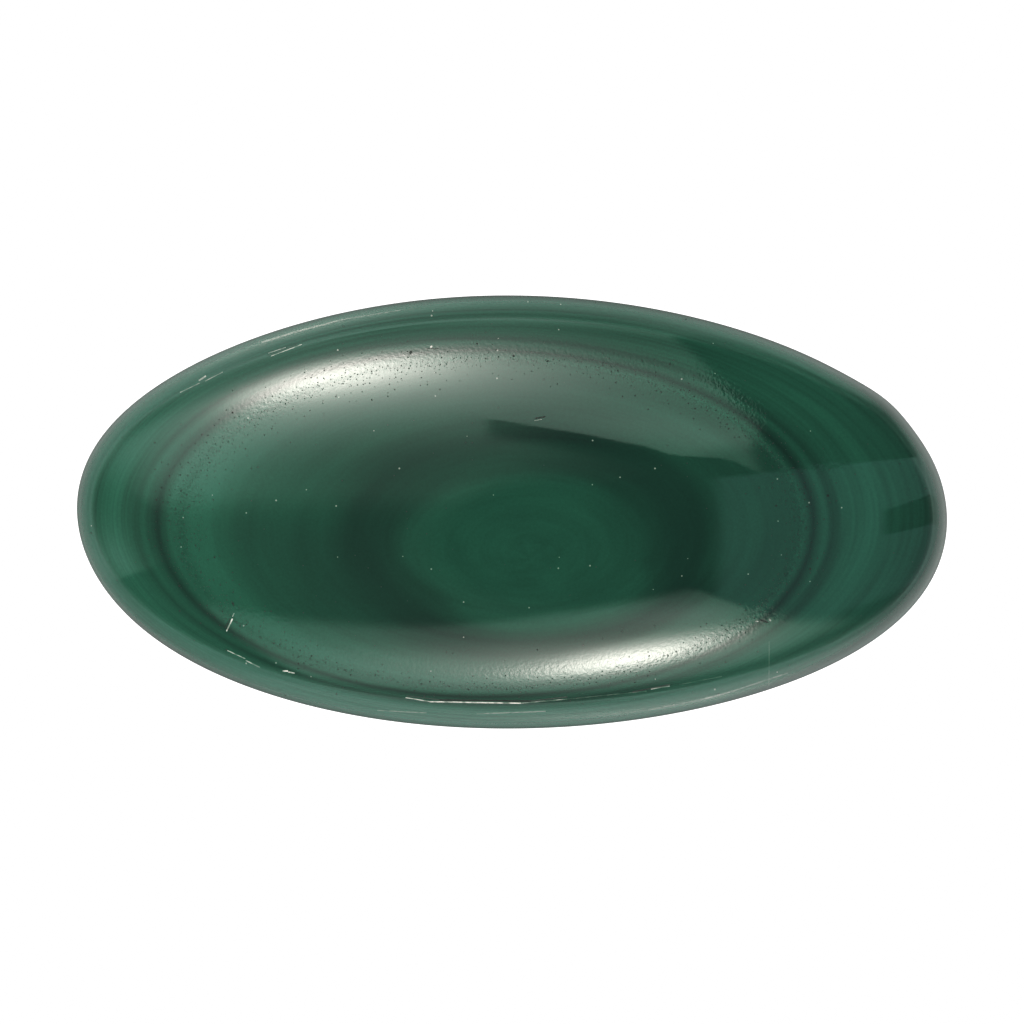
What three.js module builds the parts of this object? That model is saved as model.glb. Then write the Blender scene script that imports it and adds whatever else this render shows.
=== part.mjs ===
// Polished malachite oval: one natural stone, domed above and below, with a small flat spot to rest on.
// Millimetres, +Z up, +X along the length. The origin is under the stone's middle, on the flat spot's plane.
import * as THREE from 'three';
import { mergeVertices } from 'three/addons/utils/BufferGeometryUtils.js';

// Driving dimensions
const length = 50;
const width = 24.9;
const domeHeight = 6.6; // from the widest line up to the crest
const bellyDepth = 5.6; // from the widest line down to the flat spot
const flatShare = 0.28; // the flat spot is the outline shrunk to this share

// Slow waves that take the outline off a true ellipse, as a hand-shaped stone is.
// Each has a number of crests, a height as a share of the radius, and the angle of one crest.
const outlineWaves = [
  { crests: 2, rise: 0.03, crestAt: -86 },
  { crests: 3, rise: 0.0043, crestAt: -24 },
  { crests: 4, rise: 0.0031, crestAt: -31 },
  { crests: 5, rise: 0.0027, crestAt: 26 },
  { crests: 6, rise: 0.0018, crestAt: -27 },
];
// A slight corner left by the shaping, near the right-hand end
const corner = { rise: 0.008, at: 33, spread: 5 };

// Facets
const stepsRound = 88;
const domeSteps = 14;
const bellySteps = 12;

// Finish
const malachiteGreen = 0x1f5f47;
const polishRoughness = 0.12;

// Radius of the outline at an angle in degrees, where a true ellipse has 1
function outlineRadius(angle) {
  const wave = ({ crests, rise, crestAt }) =>
    rise * Math.cos(THREE.MathUtils.degToRad(crests * (angle - crestAt)));
  const fromCorner = (angle - corner.at) / corner.spread;
  const cornerRise = corner.rise * Math.exp(-0.5 * fromCorner ** 2);
  return outlineWaves.reduce((radius, each) => radius + wave(each), 1 + cornerRise);
}

// Half section on a unit radius: across the flat spot, up the belly to the widest line, over the dome
function halfSection() {
  const flatEdge = Math.asin(flatShare);
  const fullBelly = bellyDepth / Math.cos(flatEdge); // depth of the ellipse that the flat spot cuts
  const points = [new THREE.Vector2(0, -bellyDepth)];
  for (let i = 0; i <= bellySteps; i++) {
    const turn = THREE.MathUtils.lerp(flatEdge, Math.PI / 2, i / bellySteps);
    points.push(new THREE.Vector2(Math.sin(turn), -fullBelly * Math.cos(turn)));
  }
  for (let i = domeSteps - 1; i > 0; i--) {
    const turn = (Math.PI / 2) * (i / domeSteps);
    points.push(new THREE.Vector2(Math.sin(turn), domeHeight * Math.cos(turn)));
  }
  points.push(new THREE.Vector2(0, domeHeight));
  return points;
}

// Moves each point of the round lathe form out to the stone's own outline
function followOutline(geometry) {
  const place = geometry.attributes.position;
  for (let i = 0; i < place.count; i++) {
    const angle = THREE.MathUtils.radToDeg(Math.atan2(place.getY(i), place.getX(i)));
    const radius = outlineRadius(angle);
    place.setXY(i, place.getX(i) * radius, place.getY(i) * radius);
  }
}

// Brings the form to its length and width, over the origin and standing on z = 0
function sizeAndCentre(geometry) {
  geometry.computeBoundingBox();
  const size = geometry.boundingBox.getSize(new THREE.Vector3());
  geometry.scale(length / size.x, width / size.y, 1);
  geometry.center();
  geometry.translate(0, 0, (domeHeight + bellyDepth) / 2);
}

function stoneGeometry() {
  const lathe = new THREE.LatheGeometry(halfSection(), stepsRound);
  lathe.rotateX(Math.PI / 2); // the lathe turns about Y
  lathe.deleteAttribute('normal');
  lathe.deleteAttribute('uv');
  followOutline(lathe);
  sizeAndCentre(lathe);
  const stone = mergeVertices(lathe);
  stone.computeVertexNormals();
  return stone;
}

const malachite = new THREE.MeshStandardMaterial({
  color: malachiteGreen,
  roughness: polishRoughness,
  metalness: 0,
});

const stone = new THREE.Mesh(stoneGeometry(), malachite);
stone.name = 'stone';

const malachiteOval = new THREE.Group();
malachiteOval.name = 'malachite_oval';
malachiteOval.add(stone);

export default malachiteOval;
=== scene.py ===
import math

import bpy
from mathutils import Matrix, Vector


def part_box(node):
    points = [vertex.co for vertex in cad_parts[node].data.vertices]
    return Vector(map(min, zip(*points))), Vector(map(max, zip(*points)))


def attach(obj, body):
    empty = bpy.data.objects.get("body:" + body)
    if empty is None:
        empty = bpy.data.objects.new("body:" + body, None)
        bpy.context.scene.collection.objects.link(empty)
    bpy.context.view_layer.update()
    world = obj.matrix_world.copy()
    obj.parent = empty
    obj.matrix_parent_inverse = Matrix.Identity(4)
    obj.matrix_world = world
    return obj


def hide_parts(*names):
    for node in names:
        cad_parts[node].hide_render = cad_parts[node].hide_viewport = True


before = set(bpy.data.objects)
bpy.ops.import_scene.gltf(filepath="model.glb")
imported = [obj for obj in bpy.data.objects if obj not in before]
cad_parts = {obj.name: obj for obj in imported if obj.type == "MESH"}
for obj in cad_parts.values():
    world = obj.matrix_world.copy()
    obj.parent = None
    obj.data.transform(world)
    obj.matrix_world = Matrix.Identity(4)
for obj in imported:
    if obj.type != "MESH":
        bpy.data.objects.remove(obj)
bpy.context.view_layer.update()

stoneLow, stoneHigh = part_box("stone")
stoneSize = [round(1000 * (high - low), 2) for low, high in zip(stoneLow, stoneHigh)]
print("frame loaded, the stone is", stoneSize, "mm")

mm = 0.001
scene = bpy.context.scene


# Helpers that add nodes

# One output of a node. Python arithmetic on it adds Math nodes to the same tree.
class Wire:
    def __init__(self, maker, node, output=0):
        self.maker = maker
        self.node = node
        self.socket = node.outputs[output] if len(node.outputs) else None

    def out(self, name):
        return Wire(self.maker, self.node, name)

    def math(self, operation, *values):
        return self.maker.add("ShaderNodeMath", {"operation": operation}, dict(enumerate(values)))

    def __add__(self, other):
        return self.math("ADD", self, other)

    def __radd__(self, other):
        return self.math("ADD", other, self)

    def __sub__(self, other):
        return self.math("SUBTRACT", self, other)

    def __rsub__(self, other):
        return self.math("SUBTRACT", other, self)

    def __mul__(self, other):
        return self.math("MULTIPLY", self, other)

    def __rmul__(self, other):
        return self.math("MULTIPLY", other, self)

    def __truediv__(self, other):
        return self.math("DIVIDE", self, other)

    def __rtruediv__(self, other):
        return self.math("DIVIDE", other, self)

    def __pow__(self, other):
        return self.math("POWER", self, other)

    def __neg__(self):
        return self.math("MULTIPLY", self, -1.0)


# Adds nodes to one tree: the settings first, then the values or links of the sockets.
class NodeMaker:
    def __init__(self, tree):
        self.tree = tree

    def add(self, kind, settings=None, inputs=None, output=0):
        node = self.tree.nodes.new(kind)
        for name, value in (settings or {}).items():
            if name == "stops":
                self.setStops(node.color_ramp, value)
            else:
                setattr(node, name, value)
        for name, value in (inputs or {}).items():
            if isinstance(value, Wire):
                self.tree.links.new(value.socket, node.inputs[name])
            else:
                node.inputs[name].default_value = value
        return Wire(self, node, output)

    def setStops(self, ramp, stops):
        while len(ramp.elements) > 1:
            ramp.elements.remove(ramp.elements[-1])
        ramp.elements[0].position = stops[0][0]
        for place, _ in stops[1:]:
            ramp.elements.new(place)
        for element, (_, colour) in zip(ramp.elements, stops):
            element.color = (*colour, 1.0)

    # one level below the start, the other above the end, smooth between
    def rise(self, value, start, end, below=0.0, above=1.0):
        sockets = {"Value": value, "From Min": start, "From Max": end, "To Min": below, "To Max": above}
        return self.add("ShaderNodeMapRange", {"interpolation_type": "SMOOTHSTEP"}, sockets)

    # a hump of height 1 at a place, and how wide it is
    def hump(self, value, place, width):
        off = (value - place) / width
        return self.exp(-0.5 * off * off)

    def root(self, value):
        return self.add("ShaderNodeMath", {"operation": "SQRT"}, {0: value})

    def exp(self, value):
        return self.add("ShaderNodeMath", {"operation": "EXPONENT"}, {0: value})

    def highest(self, value, other):
        return self.add("ShaderNodeMath", {"operation": "MAXIMUM"}, {0: value, 1: other})

    def vector(self, x, y, z):
        return self.add("ShaderNodeCombineXYZ", {}, {0: x, 1: y, 2: z})

    def split(self, vector):
        parts = self.add("ShaderNodeSeparateXYZ", {}, {0: vector})
        return parts.out("X"), parts.out("Y"), parts.out("Z")

    def vectorMath(self, operation, *values):
        return self.add("ShaderNodeVectorMath", {"operation": operation}, dict(enumerate(values)))

    def scaled(self, vector, factor):
        return self.add("ShaderNodeVectorMath", {"operation": "SCALE"}, {0: vector, "Scale": factor})

    def mixColour(self, factor, first, second):
        sockets = {0: factor, 6: first, 7: second}
        return self.add("ShaderNodeMix", {"data_type": "RGBA"}, sockets, 2)

    def noise(self, place, scale, detail=2.0, roughness=0.5):
        sockets = {"Vector": place, "Scale": scale, "Detail": detail, "Roughness": roughness}
        return self.add("ShaderNodeTexNoise", {}, sockets)


def newMaterial(name):
    material = bpy.data.materials.new(name)
    material.use_nodes = True
    material.node_tree.nodes.clear()
    return material, NodeMaker(material.node_tree)


# Form of the stone

stoneShape = {
    "domeHeight": 6.6 * mm,  # from the widest line up to the crest
    "bellyDepth": 5.6 * mm,  # from the widest line down to the flat spot
    "flatShare": 0.28,  # the flat spot is the outline shrunk to this share
    "flatSoftness": 0.06 * mm,
    "gridSteps": 91,  # points along each side of the starting cube
    # crests, rise as a share of the radius, and the angle of one crest
    "outlineWaves": [(2, 0.03, -86), (3, 0.0043, -24), (4, 0.0031, -31), (5, 0.0027, 26), (6, 0.0018, -27)],
    "cornerRise": 0.008,
    "cornerAt": 33,
    "cornerSpread": 5,
}


def stoneTree(material):
    tree = bpy.data.node_groups.new("stoneForm", "GeometryNodeTree")
    sizes = {
        "Length": stoneHigh[0] - stoneLow[0],
        "Width": stoneHigh[1] - stoneLow[1],
        "Dome Height": stoneShape["domeHeight"],
        "Belly Depth": stoneShape["bellyDepth"],
        "Flat Share": stoneShape["flatShare"],
    }
    identifiers = {}
    for name in sizes:
        socket = tree.interface.new_socket(name, in_out="INPUT", socket_type="NodeSocketFloat")
        identifiers[name] = socket.identifier
    tree.interface.new_socket("Geometry", in_out="OUTPUT", socket_type="NodeSocketGeometry")
    make = NodeMaker(tree)
    given = make.add("NodeGroupInput")
    domeHeight = given.out("Dome Height")
    bellyDepth = given.out("Belly Depth")
    flatShare = given.out("Flat Share")

    steps = stoneShape["gridSteps"]
    counts = {"Size": (2, 2, 2), "Vertices X": steps, "Vertices Y": steps, "Vertices Z": steps}
    cube = make.add("GeometryNodeMeshCube", {}, counts)

    # the cube's grid blown up to a unit sphere, evenly spaced
    onCube = make.add("GeometryNodeInputPosition")
    even = make.vectorMath("TANGENT", make.scaled(onCube, math.pi / 4))
    x, y, z = make.split(make.vectorMath("NORMALIZE", even))

    # outline: a slow wave at a time, and a slight corner
    angle = make.add("ShaderNodeMath", {"operation": "ARCTAN2"}, {0: y, 1: x})
    radius = 1.0
    for crests, rise, crestAt in stoneShape["outlineWaves"]:
        turn = crests * (angle - math.radians(crestAt))
        radius = radius + rise * turn.math("COSINE", turn)
    cornerAt = math.radians(stoneShape["cornerAt"])
    cornerSpread = math.radians(stoneShape["cornerSpread"])
    radius = radius + stoneShape["cornerRise"] * make.hump(angle, cornerAt, cornerSpread)

    # heights: dome above the widest line, belly below it, cut by the flat spot
    fullBelly = bellyDepth / make.root(1 - flatShare * flatShare)
    dome = z * domeHeight
    belly = z * fullBelly
    softly = {"operation": "SMOOTH_MAX"}
    cutBelly = make.add("ShaderNodeMath", softly, {0: belly, 1: -bellyDepth, 2: stoneShape["flatSoftness"]})
    above = make.add("ShaderNodeMath", {"operation": "GREATER_THAN"}, {0: z, 1: 0.0})
    height = above * dome + (1 - above) * cutBelly
    formed = make.add("GeometryNodeSetPosition", {}, {
        "Geometry": cube,
        "Position": make.vector(x * radius, y * radius, height),
    })

    # brought to its length and width, centred, standing on z = 0
    box = make.add("GeometryNodeBoundBox", {}, {0: formed})
    low = box.out("Min")
    extent = make.vectorMath("SUBTRACT", box.out("Max"), low)
    fullSize = make.vector(given.out("Length"), given.out("Width"), domeHeight + bellyDepth)
    share = make.vectorMath("DIVIDE", make.vectorMath("SUBTRACT", onCube, low), extent)
    offCentre = make.vectorMath("SUBTRACT", share, (0.5, 0.5, 0.0))
    sized = make.add("GeometryNodeSetPosition", {}, {
        "Geometry": formed,
        "Position": make.vectorMath("MULTIPLY", offCentre, fullSize),
    })
    smooth = make.add("GeometryNodeSetShadeSmooth", {}, {"Geometry": sized, "Shade Smooth": True})
    real = make.add("GeometryNodeRealizeInstances", {}, {"Geometry": smooth})
    dressed = make.add("GeometryNodeSetMaterial", {}, {
        "Geometry": real,
        "Material": material,
    })
    make.add("NodeGroupOutput", {}, {"Geometry": dressed})
    return tree, {identifiers[name]: size for name, size in sizes.items()}


def makeStone(material):
    tree, inputs = stoneTree(material)
    maker = bpy.data.objects.new("stoneMaker", bpy.data.meshes.new("stoneMaker"))
    scene.collection.objects.link(maker)
    modifier = maker.modifiers.new("form", "NODES")
    modifier.node_group = tree
    for identifier, size in inputs.items():
        modifier[identifier] = size
    evaluated = maker.evaluated_get(bpy.context.evaluated_depsgraph_get())
    mesh = bpy.data.meshes.new_from_object(evaluated)
    mesh.name = "malachiteStone"
    bpy.data.objects.remove(maker)
    stone = bpy.data.objects.new("malachiteStone", mesh)
    scene.collection.objects.link(stone)
    return stone


# Look of the stone

malachite = {
    # body colour by tone, from a black band to the lightest
    "greens": [
        (0.0, (0.0, 0.0, 0.004)),
        (0.125, (0.007, 0.043, 0.034)),
        (0.25, (0.014, 0.077, 0.056)),
        (0.375, (0.021, 0.1045, 0.075)),
        (0.56, (0.030, 0.137, 0.099)),
        (0.75, (0.039, 0.162, 0.119)),
        (1.0, (0.050, 0.190, 0.142)),
    ],
    "ior": 1.85,
    "roughness": 0.045,
    "grainRoughness": 0.12,  # added on the grainy ring
    "markRoughness": 0.7,  # added on pits, dust, scratch marks and the painted reflections and glint
    # growth rings, and painted shade round the rim, from the heart (0) to the rim (1) and on over the belly:
    # place and tone
    "rings": [
        (0.00, 0.70), (0.20, 0.66), (0.25, 0.60), (0.29, 0.42), (0.34, 0.33), (0.40, 0.34), (0.48, 0.48),
        (0.60, 0.50), (0.675, 0.62), (0.695, 0.56), (0.715, 0.64), (0.74, 0.25), (0.77, 0.64), (0.79, 0.40),
        # the dark tones from 0.97 to 1.02 are painted shade round the rim, where the stone curves under
        # towards the table
        (0.82, 0.66), (0.87, 0.74), (0.92, 0.66), (0.945, 0.54), (0.97, 0.36), (0.99, 0.16), (1.02, 0.20),
        (1.09, 0.54), (1.17, 0.32), (1.25, 0.62), (1.31, 0.36), (1.38, 0.68), (1.45, 0.34), (1.53, 0.56),
        (1.62, 0.46),
    ],
    "toneShare": 0.93,
    "ringPasses": 4,
    "middleAlong": 0.04,  # where the innermost rings' middle lies along the stone, in half lengths
    "middleDrift": -0.1,  # how far it moves for the rings further out
    "middleReturn": 0.06,  # and back again for those near the rim
    "middleAcross": 0.22,  # how far the innermost rings' middle lies in front of the stone's, in half widths
    "heartFullness": 0.27,  # how much rounder than the outline the innermost rings are
    "bellyRings": 2.6,
    "waver": 0.010,
    "waverScale": 180.0,
    "fineLines": 95.0,
    "broadLines": 19.0,
    "broadLineShare": 0.4,
    "linesAround": 1.2,  # how soon a line changes on its way round
    "leftShift": 0.013,  # how much further out the rings lie at the left end
    "frontShift": 0.018,  # and along the front
    "heartShift": 0.07,  # and the inner ones along the front, more than that
    "endsTurn": 15,  # the light ends of the rings lie this much round from the length
    "backDull": 0.43,
    "heartDull": 0.38,  # along the front, for the inner rings
    "frontDull": 0.18,  # and for the outer ones
    "paleRing": 0.665,  # paler at the left end, darker at the right
    "paleRingWidth": 0.03,
    "paleRingLift": 0.3,
    "frontLeftLift": 0.22,
    "backLeftLift": 0.28,
    "silk": 0.5,
    "silkScale": 6500.0,
    "sparkle": 0.7,
    "sparkleScale": 7000.0,
    "grainAt": 0.708,  # the ring that is grainy and less well polished
    "grainWidth": 0.009,
}

polish = {
    "pitsAt": 0.705,
    "pitsWidth": 0.05,
    "pitShare": 0.015,  # of the cells everywhere
    "ringPitShare": 0.52,  # and on top of that at the pitted ring
    "finePitsWidth": 0.022,
    "finePitShare": 0.8,
    "finePitStrength": 0.7,
    "pitStrength": 0.85,
    "dustStrength": 0.3,
    # cells in a metre, radius of a spot, and an offset that gives each pattern its own places
    "pits": (2700.0, 0.045 * mm, 0.013),
    "widePits": (1000.0, 0.075 * mm, 0.29),
    "finePits": (4300.0, 0.04 * mm, 0.43),
    "dust": (560.0, 0.055 * mm, 0.71),
    "widePitShare": 0.25,
    "dustShare": 0.2,
    # the dark colour goes on pits, dark marks and a painted dark reflection; the pale one on dust, pale
    # marks, painted reflections and a painted glint
    "pitAndDarkReflectionColour": (0.005, 0.018, 0.014, 1),
    "scratchAndReflectionColour": (0.95, 0.95, 0.88, 1),
    "breaks": 2300.0,  # how finely the pale strokes are broken up
}

# Relief of the polish: heights, and places along the radius of the outline
relief = {
    "slow": 3.0e-3 * mm,
    "slowScale": 420.0,
    "lines": 7.0e-4 * mm,
    "linesAcross": 48,
    "linesAround": 2,
    "fine": 5.0e-4 * mm,
    "fineScale": 5000.0,
    "grainy": 7.5e-3 * mm,
    "grainyAt": 0.745,
    "grainyWidth": 0.035,
}

# Marks on the polish, and painted reflections and a painted glint near the rim, in mm along and across from
# the stone's middle: start, end, half width, strength
paleMarks = [
    # painted reflections along the front rim: the strokes from (-6.06, -10.61) to (11.98, -9.40), from
    # (7.84, -11.33) to (15.77, -9.23), and the thin ones from (-7.7, -11.36) and (-2.0, -11.55)
    ((-6.06, -10.61), (-4.68, -10.84), 0.030, 0.6), ((-4.68, -10.84), (0.49, -10.93), 0.035, 0.85),
    ((0.49, -10.93), (3.13, -10.69), 0.030, 0.32), ((3.13, -10.69), (7.67, -10.24), 0.025, 0.12),
    ((7.96, -10.12), (8.99, -9.95), 0.030, 0.40), ((9.57, -9.86), (11.98, -9.40), 0.025, 0.08),
    ((7.84, -11.33), (10.83, -10.75), 0.040, 0.10), ((10.83, -10.75), (12.44, -10.32), 0.045, 0.26),
    # painted reflection of the lamp mirrored in the table, along the back rim: the strokes from (-14.33,
    # 9.73) to (-6.41, 11.56)
    ((12.44, -10.32), (15.77, -9.23), 0.040, 0.14), ((-14.33, 9.73), (-12.04, 10.42), 0.050, 0.24),
    ((-12.04, 10.42), (-9.74, 11.02), 0.045, 0.22), ((-9.74, 11.02), (-6.41, 11.56), 0.030, 0.12),
    ((-13.93, 9.09), (-12.96, 9.41), 0.025, 0.3), ((-13.76, 8.92), (-12.04, 9.58), 0.025, 0.4),
    # painted glint: the bright stroke from (-17.89, 7.54)
    ((-17.89, 7.54), (-17.55, 7.77), 0.045, 0.8), ((-17.55, 7.49), (-16.57, 8.00), 0.025, 0.3),
    ((-18.98, 6.85), (-17.89, 7.37), 0.025, 0.3), ((-16.29, -6.78), (-15.97, -6.12), 0.040, 1.0),
    ((-15.94, -5.95), (-15.86, -5.79), 0.030, 0.5), ((-16.25, -7.93), (-15.27, -8.38), 0.030, 0.5),
    ((-15.20, -8.50), (-14.45, -8.87), 0.035, 0.5), ((-13.07, -9.09), (-12.84, -9.09), 0.045, 0.9),
    ((-12.76, -9.15), (-12.44, -9.21), 0.035, 0.7), ((-7.7, -11.36), (-4.9, -11.50), 0.03, 0.15),
    ((-2.0, -11.55), (1.9, -11.40), 0.030, 0.2), ((1.29, 5.20), (1.69, 5.27), 0.020, 0.22),
    ((13.90, -6.24), (14.02, -6.24), 0.035, 0.55), ((14.68, -6.12), (14.75, -6.18), 0.045, 0.55),
    ((-4.62, 9.41), (-4.59, 9.44), 0.050, 0.7), ((14.68, -7.4), (14.72, -10.2), 0.02, 0.12),
]
darkMarks = [
    # the first four strokes are a painted reflection of a dark band, along the inner side of the pale line
    # at the front rim
    ((-6.0, -10.50), (-4.11, -10.74), 0.035, 0.6), ((-4.11, -10.74), (1.06, -10.80), 0.045, 0.9),
    ((1.06, -10.80), (3.13, -10.56), 0.040, 0.7), ((6.92, -10.28), (8.99, -9.87), 0.040, 0.8),
    ((1.35, 5.33), (1.87, 5.42), 0.035, 0.9), ((-16.36, -6.6), (-16.1, -6.1), 0.035, 0.7),
    ((-5.80, 9.07), (-5.76, 9.13), 0.090, 0.8), ((-4.83, 9.32), (-4.17, 9.32), 0.030, 0.7),
    ((14.15, -6.15), (14.55, -6.28), 0.060, 0.7), ((-13.90, 8.98), (-12.3, 9.58), 0.030, 0.5),
]


# Place of a point among the nested rings, and the direction in which it lies from their middle
def nestedRings(make, along, across, z):
    look = malachite
    ring = make.root(along * along + across * across)
    # the rings' middle drifts, so the ring through a point is found by closing in on it
    for _ in range(look["ringPasses"]):
        drift = look["middleDrift"] * make.rise(ring, 0.35, 0.78)
        middle = look["middleAlong"] + drift + look["middleReturn"] * make.rise(ring, 0.8, 1.0)
        fullness = 1 + look["heartFullness"] - look["heartFullness"] * ring
        fromMiddle = along - middle
        offMiddle = (across + look["middleAcross"] * (1 - ring)) / fullness
        reach = make.root(fromMiddle * fromMiddle + offMiddle * offMiddle)
        ring = 0.5 * ring + 0.5 * reach
    below = make.highest((stoneShape["bellyDepth"] - z) / stoneShape["bellyDepth"], 0.0)
    ring = make.root(ring * ring + look["bellyRings"] * below ** 1.5)
    return ring, fromMiddle / reach, offMiddle / reach


# Tone of the rings: further out to the left and front, and duller along the two long sides
def ringTone(make, ring, aroundX, aroundY):
    look = malachite
    leftness = make.rise(-aroundX, -0.4, 0.5)
    endsTurn = math.radians(look["endsTurn"])
    turned = aroundY * math.cos(endsTurn) - aroundX * math.sin(endsTurn)
    backness = make.rise(turned, 0.4, 0.95)
    frontness = make.rise(-turned, 0.4, 0.95)
    frontness = frontness * (1 - 0.75 * make.rise(aroundX, 0.3, 0.7) * make.rise(ring, 0.82, 0.88))

    heartShift = look["heartShift"] * make.rise(-ring, -0.66, -0.5)
    shift = look["leftShift"] * leftness + (look["frontShift"] + heartShift) * frontness
    lastRing = look["rings"][-1][0]
    stops = [(at / lastRing, (tone, tone, tone)) for at, tone in look["rings"]]
    tones = make.add("ShaderNodeValToRGB", {"stops": stops}, {0: (ring - shift) / lastRing})
    tone = make.split(tones)[0]

    offHeart = make.rise(ring, 0.36, 0.44)
    offRim = make.rise(-ring, -0.98, -0.93)
    backDull = look["backDull"] * offHeart * offRim
    frontDull = look["heartDull"] * offHeart * make.rise(-ring, -0.62, -0.5)
    frontDull = frontDull + look["frontDull"] * make.rise(ring, 0.66, 0.7) * offRim
    tone = tone * (1 - backDull * backness - frontDull * frontness)

    pale = look["paleRingLift"] * make.hump(ring, look["paleRing"], look["paleRingWidth"])
    tone = tone * (1 + pale * (2 * leftness - 1) * (1 - backness - frontness))
    frontLeft = make.rise(-aroundX - aroundY, 0.9, 1.4) * make.rise(ring, 0.5, 0.6)
    backLeft = make.rise(aroundY - aroundX, 0.9, 1.4) * make.rise(ring, 0.38, 0.44)
    backLeft = backLeft * make.rise(-ring, -0.8, -0.7)
    return tone * (1 + look["frontLeftLift"] * frontLeft + look["backLeftLift"] * backLeft)


# The tone with its growth lines, silky fibres and, on the grainy ring, sparkle
def finelyLined(make, tone, place, ring, aroundX, aroundY, grain):
    look = malachite
    soon = look["linesAround"]
    ringPlace = make.vector(ring, soon * aroundX, soon * aroundY)
    fine = make.vectorMath("MULTIPLY", ringPlace, (look["fineLines"], soon, soon))
    fineLines = make.noise(fine, 1.0, 1.0) - 0.5
    broad = make.vectorMath("MULTIPLY", ringPlace, (look["broadLines"], 1.0, 1.0))
    broadLines = make.noise(broad, 1.0, 1.0) - 0.5
    fineShare = 0.2 + 0.6 * make.rise(ring, 0.70, 0.88)
    tone = look["toneShare"] * tone * (1 + fineShare * fineLines + look["broadLineShare"] * broadLines)
    silk = make.noise(place, look["silkScale"], 3.0, 0.75) - 0.5
    sparkle = make.noise(place, look["sparkleScale"], 1.0) - 0.5
    return tone * (1 + look["silk"] * silk) + look["sparkle"] * grain * sparkle


# Round spots, one to a cell, in a share of the cells
def spots(make, plan, kind, share):
    scale, radius, offset = kind
    cells = {"voronoi_dimensions": "2D", "feature": "F1"}
    moved = make.vectorMath("ADD", plan, (offset, offset, 0.0))
    cell = make.add("ShaderNodeTexVoronoi", cells, {"Vector": moved, "Scale": scale})
    kept, size, _ = make.split(cell.out("Color"))
    reach = radius * scale * (0.55 + 0.45 * size)
    spot = make.rise(cell.out("Distance") / reach, 0.6, 1.3, 1.0, 0.0)
    return spot * make.add("ShaderNodeMath", {"operation": "LESS_THAN"}, {0: kept, 1: share})


def strokes(make, plan, marks):
    covered = None
    for start, end, halfWidth, strength in marks:
        run = (end[0] - start[0], end[1] - start[1])
        squared = run[0] * run[0] + run[1] * run[1]
        fromStart = make.vectorMath("SUBTRACT", plan, (start[0] * mm, start[1] * mm, 0.0))
        towards = (run[0] / squared / mm, run[1] / squared / mm, 0.0)
        passed = make.vectorMath("DOT_PRODUCT", fromStart, towards).out("Value")
        share = make.add("ShaderNodeClamp", {}, {0: passed})
        nearest = make.scaled((run[0] * mm, run[1] * mm, 0.0), share)
        off = make.vectorMath("DISTANCE", fromStart, nearest).out("Value")
        stroke = make.rise(off, 0.4 * halfWidth * mm, 1.5 * halfWidth * mm, strength, 0.0)
        covered = stroke if covered is None else make.highest(covered, stroke)
    return covered


# Marks on the polished top: pits in the ring that takes the least polish, dust, scratch marks, and painted
# reflections and a painted glint near the rim
def darkAndPale(make, place, ring):
    x, y, z = make.split(place)
    widestLine = stoneShape["bellyDepth"]
    onTop = make.rise(z, widestLine + 0.2 * mm, widestLine + 1.2 * mm)
    plan = make.vector(x, y, 0.0)
    pitted = make.hump(ring, polish["pitsAt"], polish["pitsWidth"])
    pitShare = polish["pitShare"] + polish["ringPitShare"] * pitted
    fineShare = polish["finePitShare"] * make.hump(ring, polish["pitsAt"], polish["finePitsWidth"])
    finePits = spots(make, plan, polish["finePits"], fineShare)
    widePits = spots(make, plan, polish["widePits"], polish["widePitShare"] * pitShare)
    pits = make.highest(spots(make, plan, polish["pits"], pitShare), widePits)
    pits = make.highest(pits, polish["finePitStrength"] * finePits)
    dust = spots(make, plan, polish["dust"], polish["dustShare"])
    broken = make.rise(make.noise(place, polish["breaks"], 2.0), 0.35, 0.62, 0.35, 1.15)
    scratchesAndReflections = strokes(make, plan, paleMarks) * broken
    pale = make.highest(scratchesAndReflections, polish["dustStrength"] * dust) * onTop
    dark = make.highest(strokes(make, plan, darkMarks), polish["pitStrength"] * pits) * onTop
    return dark, pale


# Relief: a slow unevenness, the growth lines and a fine grain that is strongest along one line
def unevenPolish(make, place, along, across):
    edgeward = make.root(along * along + across * across)
    turns = relief["linesAround"]
    linePlace = make.vector(relief["linesAcross"] * edgeward, turns * along, turns * across)
    grainyLine = make.hump(edgeward, relief["grainyAt"], relief["grainyWidth"])
    grainy = relief["fine"] + relief["grainy"] * grainyLine
    height = relief["slow"] * make.noise(place, relief["slowScale"], 1.0)
    height = height + relief["lines"] * make.noise(linePlace, 1.0, 2.0)
    height = height + grainy * make.noise(place, relief["fineScale"], 2.0)
    return make.add("ShaderNodeBump", {}, {"Strength": 1.0, "Distance": 1.0, "Height": height})


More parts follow.
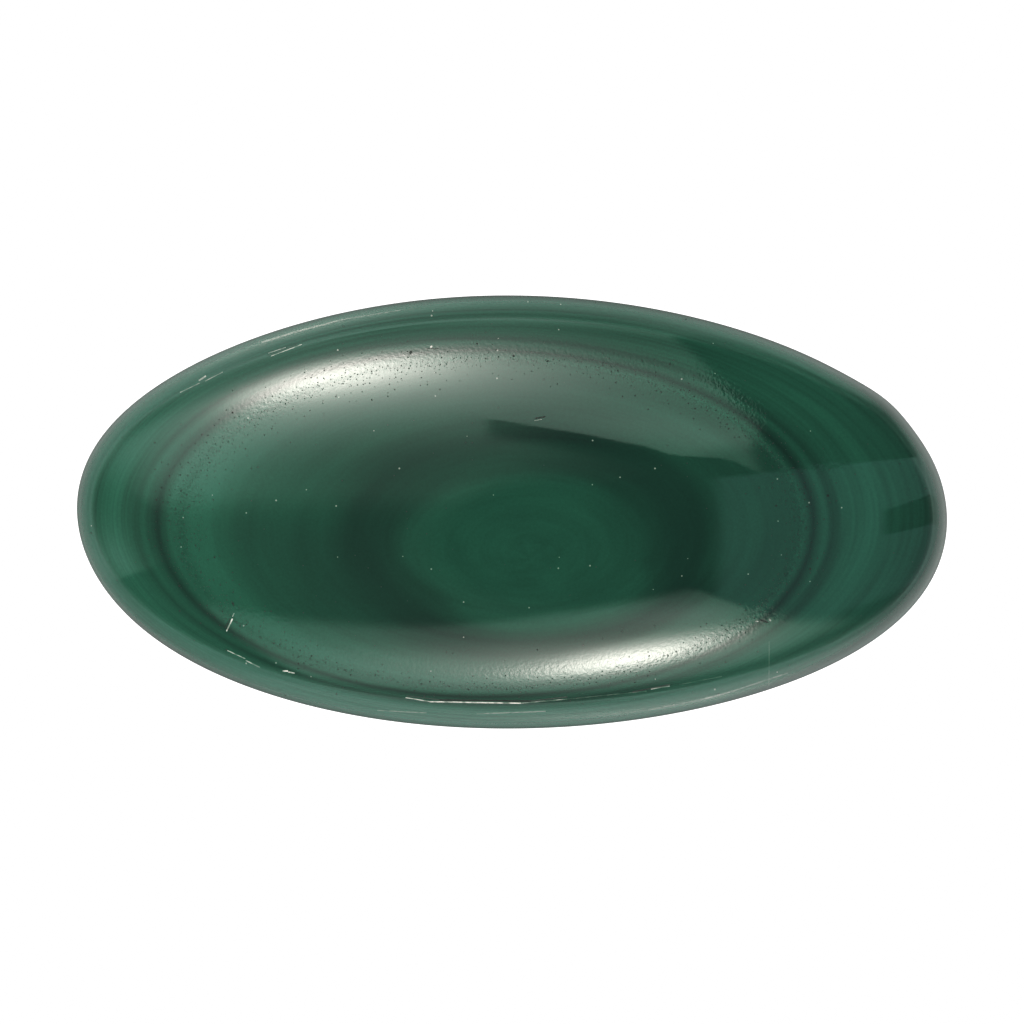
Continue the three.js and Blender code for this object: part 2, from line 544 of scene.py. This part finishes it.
def makeMalachite():
    material, make = newMaterial("polishedMalachite")
    place = make.add("ShaderNodeTexCoord").out("Object")
    x, y, z = make.split(place)
    along = x / stoneHigh[0]
    across = y / stoneHigh[1]

    ring, aroundX, aroundY = nestedRings(make, along, across, z)
    ring = ring + malachite["waver"] * (make.noise(place, malachite["waverScale"], 2.0) - 0.5)
    tone = ringTone(make, ring, aroundX, aroundY)
    grain = make.hump(ring, malachite["grainAt"], malachite["grainWidth"])
    tone = finelyLined(make, tone, place, ring, aroundX, aroundY, grain)
    dark, pale = darkAndPale(make, place, ring)

    colour = make.add("ShaderNodeValToRGB", {"stops": malachite["greens"]}, {0: tone})
    colour = make.mixColour(dark, colour, polish["pitAndDarkReflectionColour"])
    colour = make.mixColour(pale, colour, polish["scratchAndReflectionColour"])
    rougher = malachite["grainRoughness"] * grain + malachite["markRoughness"] * make.highest(dark, pale)
    surface = make.add("ShaderNodeBsdfPrincipled", {}, {
        "Base Color": colour,
        "Roughness": malachite["roughness"] + rougher,
        "IOR": malachite["ior"],
        "Normal": unevenPolish(make, place, along, across),
    })
    make.add("ShaderNodeOutputMaterial", {}, {"Surface": surface})
    return material


polishedMalachite = makeMalachite()
print("malachite mixed")

stone = makeStone(polishedMalachite)
print("stone formed,", len(stone.data.polygons), "faces")


# Camera

cameraSetup = {
    "height": 0.6,  # m above the stone's widest line
    "frameWidth": 58.83 * mm,  # what the picture takes in at that line
    "sensor": 36.0,
}


def makeCamera():
    data = bpy.data.cameras.new("camera")
    data.sensor_width = cameraSetup["sensor"]
    data.lens = cameraSetup["sensor"] * cameraSetup["height"] / cameraSetup["frameWidth"]
    data.clip_start = 0.01
    data.clip_end = 10
    camera = bpy.data.objects.new("camera", data)
    camera.location = (0, 0, stoneShape["bellyDepth"] + cameraSetup["height"])
    scene.collection.objects.link(camera)
    scene.camera = camera


makeCamera()
print("camera placed")


# Table

floorLook = {
    "halfWidth": 2.0,
    "gap": 0.01 * mm,  # between the table and the stone's flat spot
    "colour": (0.80, 0.80, 0.80),
    "glow": 0.62,  # the white table is lit from below as well
    "stoneShadowShare": 0.25,  # what is left of both in the painted shadow right under the stone
    "farShare": 0.75,  # and further out, where the painted light dims
    "roughness": 0.15,
    "ior": 1.4,
    "cameraWhite": 1.5,  # what the camera sees of it
    # painted light: the table is brighter towards the east by this share
    "eastLift": 0.22,
    # painted shade on the table: darker ovals that the rim mirrors: middle, reach and how much darker
    "darkBack": ((5 * mm, 80 * mm), (24 * mm, 48 * mm), 0.62),
    "darkFront": ((-22 * mm, -22 * mm), (16 * mm, 16 * mm), 0.25),
    "darkCorner": 0.6,  # and painted shade over the whole corner at the back right
}


def makeFloor():
    half = floorLook["halfWidth"]
    mesh = bpy.data.meshes.new("floor")
    corners = [(-half, -half, 0), (half, -half, 0), (half, half, 0), (-half, half, 0)]
    mesh.from_pydata(corners, [], [(0, 1, 2, 3)])
    floor = bpy.data.objects.new("floor", mesh)
    floor.location.z = -floorLook["gap"]
    scene.collection.objects.link(floor)
    material, make = newMaterial("paleFloor")
    x, y, z = make.split(make.add("ShaderNodeTexCoord").out("Object"))
    # painted light and shade on the table, which the camera doesn't see but the stone mirrors: a shadow
    # round the stone, dimming further out, brighter to the east, darker ovals and a darker back right corner
    distance = make.root(x * x + y * y)
    inStones = make.root((x / stoneHigh[0]) ** 2 + (y / stoneHigh[1]) ** 2)
    fromStone = distance * (1 - 1 / make.highest(inStones, 0.01))
    stoneShadowShare = make.rise(fromStone, -1 * mm, 8.5 * mm, floorLook["stoneShadowShare"], 1.0)
    farShare = 1 - (1 - floorLook["farShare"]) * make.rise(distance, 30 * mm, 90 * mm)
    eastShare = 1 + floorLook["eastLift"] * make.rise(x, 5 * mm, 40 * mm)
    eastward = x / make.highest(distance, mm)
    northward = y / make.highest(distance, mm)
    nearCorner = make.rise(eastward, 0.3, 0.6) * make.rise(distance, 25 * mm, 70 * mm)
    farCorner = make.rise(eastward, 0.0, 0.25) * make.rise(distance, 60 * mm, 140 * mm)
    darkCorner = make.highest(nearCorner, farCorner) * make.rise(northward, 0.25, 0.5)
    shade = stoneShadowShare * farShare * eastShare * (1 - floorLook["darkCorner"] * darkCorner)
    for middle, reach, darker in (floorLook["darkBack"], floorLook["darkFront"]):
        oval = make.hump(x, middle[0], reach[0]) * make.hump(y, middle[1], reach[1])
        shade = shade * (1 - darker * oval)
    lit = make.add("ShaderNodeBsdfPrincipled", {}, {
        "Base Color": make.scaled(floorLook["colour"], shade),
        "Roughness": floorLook["roughness"],
        "IOR": floorLook["ior"],
        "Emission Color": make.scaled((floorLook["glow"],) * 3, shade),
        "Emission Strength": 1.0,
    })
    plainWhite = make.add("ShaderNodeEmission", {}, {"Strength": floorLook["cameraWhite"]})
    seen = make.add("ShaderNodeLightPath").out("Is Camera Ray")
    surface = make.add("ShaderNodeMixShader", {}, {0: seen, 1: lit, 2: plainWhite})
    make.add("ShaderNodeOutputMaterial", {}, {"Surface": surface})
    mesh.materials.append(material)
    return floor


floor = makeFloor()
print("floor laid")


# Light

skyTint = (1.0, 0.97, 0.94)
lampTint = (1.0, 0.94, 0.86)
eastTint = (0.88, 1.0, 1.14)
backdropGrey = (0.9, 0.9, 0.9, 1.0)
# Round or oval glows: middle, reach and level, and the turn of the long way in degrees
glows = {
    "backPanel": ((-15, 46), (26, 24.5), 1.6, 26),
    "backPanelLeft": ((-37, 17), (9, 10), 0.35),
    "backPanelRight": ((13, 26), (9, 6), 0.55),
    "backHalo": ((-14, 50.5), (13, 10.5), 1.75, 27),
    "backLamp": ((-18.6, 53), (6.8, 6.0), 9.6, 20),
    "frontPanel": ((3, -64), (22, 15), 1.2, 7),
    "frontPanelRight": ((14, -35), (6, 5), 0.8),
    "frontHalo": ((10.5, -54), (12.5, 9), 1.5, 11),
    "frontLamp": ((11, -55.4), (3.6, 6.6), 11.0, -42),
    "westFront": ((-66, -30), (13, 11), 0.4),
    "westBack": ((-62, 37), (15, 14), 0.3),
    "westMiddle": ((-66, 12), (12, 13), -0.16),
    "horizonGap": ((-18, 91), (8, 4), -0.6),
}
levels = {
    "sky": 0.24,
    "westSky": 0.13,
    "horizon": 0.66,
    "backPanel": 0.32,
    "frontPanel": 0.42,
    "west": 0.22,
    "east": 0.34,
    "edgeStrip": 0.45,  # how much darker the strip along the dark edge is
}


# Surroundings by direction. East and north are degrees from straight overhead, along X and Y.
def makeLight():
    world = bpy.data.worlds.new("studio")
    scene.world = world
    world.use_nodes = True
    world.node_tree.nodes.clear()
    make = NodeMaker(world.node_tree)
    dx, dy, dz = make.split(make.add("ShaderNodeTexCoord").out("Generated"))
    fromTop = dz.math("DEGREES", dz.math("ARCCOSINE", dz))
    flat = make.highest(make.root(dx * dx + dy * dy), 0.0001)
    east = fromTop * dx / flat
    north = fromTop * dy / flat

    def glow(name):
        at, spread, level, turn = (*glows[name], 0)[:4]
        c = math.cos(math.radians(turn))
        s = math.sin(math.radians(turn))
        u = ((east - at[0]) * c + (north - at[1]) * s) / spread[0]
        v = ((north - at[1]) * c - (east - at[0]) * s) / spread[1]
        return level * make.exp(-0.5 * (u * u + v * v))

    # 1 on the left of the line from start to end, 0 on its right
    def leftOf(start, end, softness):
        reach = math.hypot(end[0] - start[0], end[1] - start[1])
        sx = (end[0] - start[0]) / reach
        sy = (end[1] - start[1]) / reach
        side = (north - start[1]) * sx - (east - start[0]) * sy
        return make.rise(side, -softness, softness)

    # straight overhead: a dark oval, paler to its west
    fromOval = make.root(((east - 4) / 10.5) ** 2 + ((north + 9) / 20) ** 2)
    offOval = make.rise(fromOval, 0.8, 1.15)
    westSky = levels["westSky"] * offOval * make.rise(-east, -15, 3)

    # back panel with its lamp, cut by a dark edge in front
    backRight = leftOf((22.6, 12), (21.6, 88), 1.5)
    backFoot = make.rise(north, -3, 8) * leftOf((-53, 10), (-40, -2), 1.5) * offOval
    backFoot = backFoot * make.rise(east, -60, -40) * make.rise(north, 48, 62, 1.0, 0.35)
    overEdge = leftOf((-1.5, 28.5), (20, 15), 0.2)
    pastEdge = make.rise(east, -2.6, -1)
    edgeStrip = (1 - overEdge) * leftOf((-1.5, 22.5), (20, 9), 2.2) * pastEdge
    edgeStrip = edgeStrip * make.rise(-east, -14, -4)
    backMask = backRight * (1 - (1 - overEdge) * make.rise(east, -6, 12))
    backPanel = levels["backPanel"] * backFoot + glow("backPanel") * make.rise(fromTop, 8, 42)
    backPanel = (backPanel + glow("backPanelLeft") + glow("backPanelRight")) * backMask
    backHalo = glow("backHalo") * backRight

    # front panel with its lamp
    frontTop = 1 - leftOf((-38, -40), (0, -37), 4) * leftOf((0, -34), (14.5, -25), 2)
    frontRight = leftOf((15, -25), (27, -43), 0.8) * leftOf((27, -43), (46, -57), 5)
    frontLeft = leftOf((-28, -72), (-38, -38), 3)
    frontEnd = leftOf((20, -80), (46, -58), 7)
    frontPanel = levels["frontPanel"] + glow("frontPanel") + glow("frontPanelRight")
    frontPanel = frontPanel * frontTop * (1 - frontLeft) * (1 - frontRight)
    frontPanel = frontPanel * make.rise(-north, 90, 72) * (0.35 + 0.65 * frontEnd)

    # dim pale things at the sides
    westLow = leftOf((-48, -27), (-76, -48), 1.5)
    westPanel = levels["west"] * make.rise(-east, 42, 60) * make.rise(-north, -62, -42)
    westGlow = (westPanel + glow("westFront")) * (1 - westLow) + glow("westBack") + glow("westMiddle")
    eastUpper = leftOf((24, 14), (78, 41), 0.4)
    eastGap = (1 - leftOf((49, 4), (86, 17), 0.4)) * leftOf((40, -8), (86, -3), 0.5)
    eastGap = eastGap * make.rise(east, 46, 51)
    eastLow = 1 - 0.7 * make.rise(-north, 43, 52) * make.rise(east, 36, 46)
    eastLevel = levels["east"] - 0.03 * make.rise(east, 30, 60)
    eastPanel = make.rise(east, 16, 18.5) * (1 - eastUpper) * (1 - eastGap) * eastLow
    eastGlow = eastLevel * eastPanel * frontRight
    darkCorner = (1 - backRight) * eastUpper
    horizon = levels["horizon"] * make.rise(fromTop, 80, 94) * (1 - 0.92 * darkCorner)
    horizon = horizon + glow("horizonGap")

    level = levels["sky"] + westSky + horizon + backPanel + frontPanel + westGlow
    level = level * (1 - levels["edgeStrip"] * edgeStrip)
    lamps = glow("backLamp") + backHalo + (glow("frontLamp") + glow("frontHalo")) * (1 - frontRight)
    light = make.vectorMath("ADD", make.scaled(skyTint, level), make.scaled(lampTint, lamps))
    light = make.vectorMath("ADD", light, make.scaled(eastTint, eastGlow))
    seen = make.add("ShaderNodeLightPath").out("Is Camera Ray")
    shown = make.mixColour(seen, light, backdropGrey)
    background = make.add("ShaderNodeBackground", {}, {"Color": shown, "Strength": 1.0})
    make.add("ShaderNodeOutputWorld", {}, {"Surface": background})


# The camera's contrast: dark tones are shown darker than they are, and pale ones end in pure white.
cameraCurve = {
    "lift": 0.11,
    "fall": 0.03,
    "shown": [0.005, 0.012, 0.022, 0.036, 0.056, 0.085, 0.13, 0.25, 0.5],
}


def setCameraCurve():
    def sceneLight(shown):
        return shown + cameraCurve["lift"] * (1 - math.exp(-shown / cameraCurve["fall"]))

    view = scene.view_settings
    view.view_transform = "Standard"
    view.use_curve_mapping = True
    mapping = view.curve_mapping
    white = sceneLight(1.0)
    mapping.white_level = (white, white, white)
    combined = mapping.curves[3]
    for shown in cameraCurve["shown"]:
        combined.points.new(sceneLight(shown) / white, shown)
    mapping.extend = "HORIZONTAL"
    mapping.update()


makeLight()
setCameraCurve()
print("lights set")

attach(stone, "root")
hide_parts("stone")
